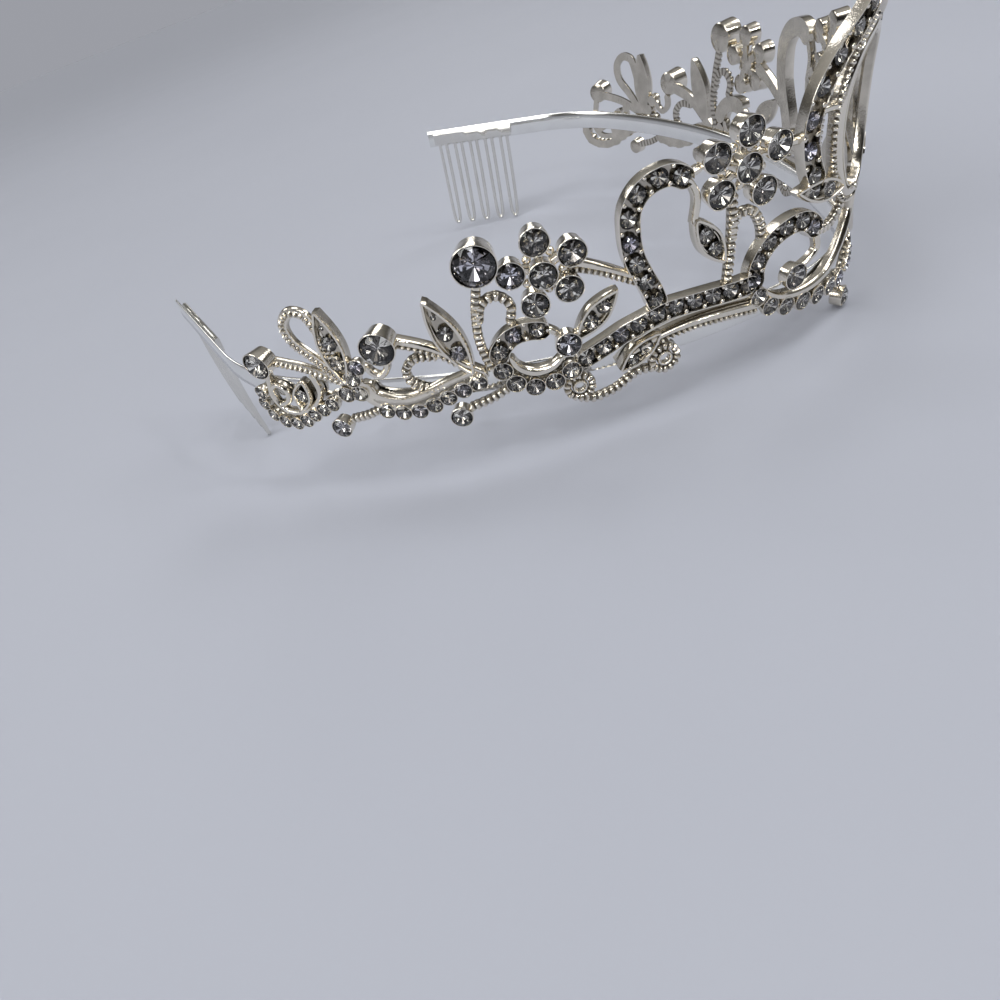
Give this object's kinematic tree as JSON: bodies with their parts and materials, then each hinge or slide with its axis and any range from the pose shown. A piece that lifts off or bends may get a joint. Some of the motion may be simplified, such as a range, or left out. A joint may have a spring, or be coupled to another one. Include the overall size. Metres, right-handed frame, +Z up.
{
  "type": "rhinestone tiara",
  "caption": "Open pageant tiara: pierced silver filigree with rhinestones on a thin headband strip, and a wire comb at each end.",
  "frame": {"origin": "centre of the bounding box at its lowest point, on the surface the tiara rests on", "axes": "+X along the width to the right end as seen from the back, -Y out of the front, +Z up"},
  "size_m": [0.1454, 0.14, 0.0579],
  "materials": {
    "cast_silver": "polished silver plate",
    "strip_metal": "bright silver plate",
    "comb_wire": "silver plate with light wear",
    "crystal": "clear foil-backed cut glass"
  },
  "bodies": {
    "root": {"headband_strip": "strip_metal", "filigree_left": "cast_silver", "filigree_right": "cast_silver", "comb_left": "comb_wire", "comb_right": "comb_wire", "left_end_round_stone": "crystal", "right_end_round_stone": "crystal", "left_stem_round_stone": "crystal", "right_stem_round_stone": "crystal", "left_high_round_stone": "crystal", "right_high_round_stone": "crystal", "left_outer_drop_stone": "crystal", "right_outer_drop_stone": "crystal", "left_inner_drop_stone": "crystal", "right_inner_drop_stone": "crystal", "left_ring_side_stone": "crystal", "right_ring_side_stone": "crystal", "left_ring_heart_stone": "crystal", "right_ring_heart_stone": "crystal", "left_outer_flower_heart_stone": "crystal", "right_outer_flower_heart_stone": "crystal", "left_outer_flower_1_stone": "crystal", "right_outer_flower_1_stone": "crystal", "left_outer_flower_2_stone": "crystal", "right_outer_flower_2_stone": "crystal", "left_outer_flower_3_stone": "crystal", "right_outer_flower_3_stone": "crystal", "left_outer_flower_4_stone": "crystal", "right_outer_flower_4_stone": "crystal", "left_outer_flower_5_stone": "crystal", "right_outer_flower_5_stone": "crystal", "left_inner_flower_heart_stone": "crystal", "right_inner_flower_heart_stone": "crystal", "left_inner_flower_1_stone": "crystal", "right_inner_flower_1_stone": "crystal", "left_inner_flower_2_stone": "crystal", "right_inner_flower_2_stone": "crystal", "left_inner_flower_3_stone": "crystal", "right_inner_flower_3_stone": "crystal", "left_inner_flower_4_stone": "crystal", "right_inner_flower_4_stone": "crystal", "left_inner_flower_5_stone": "crystal", "right_inner_flower_5_stone": "crystal", "centre_drop_stone": "crystal", "centre_top_stone": "crystal"}
  },
  "joints": []
}
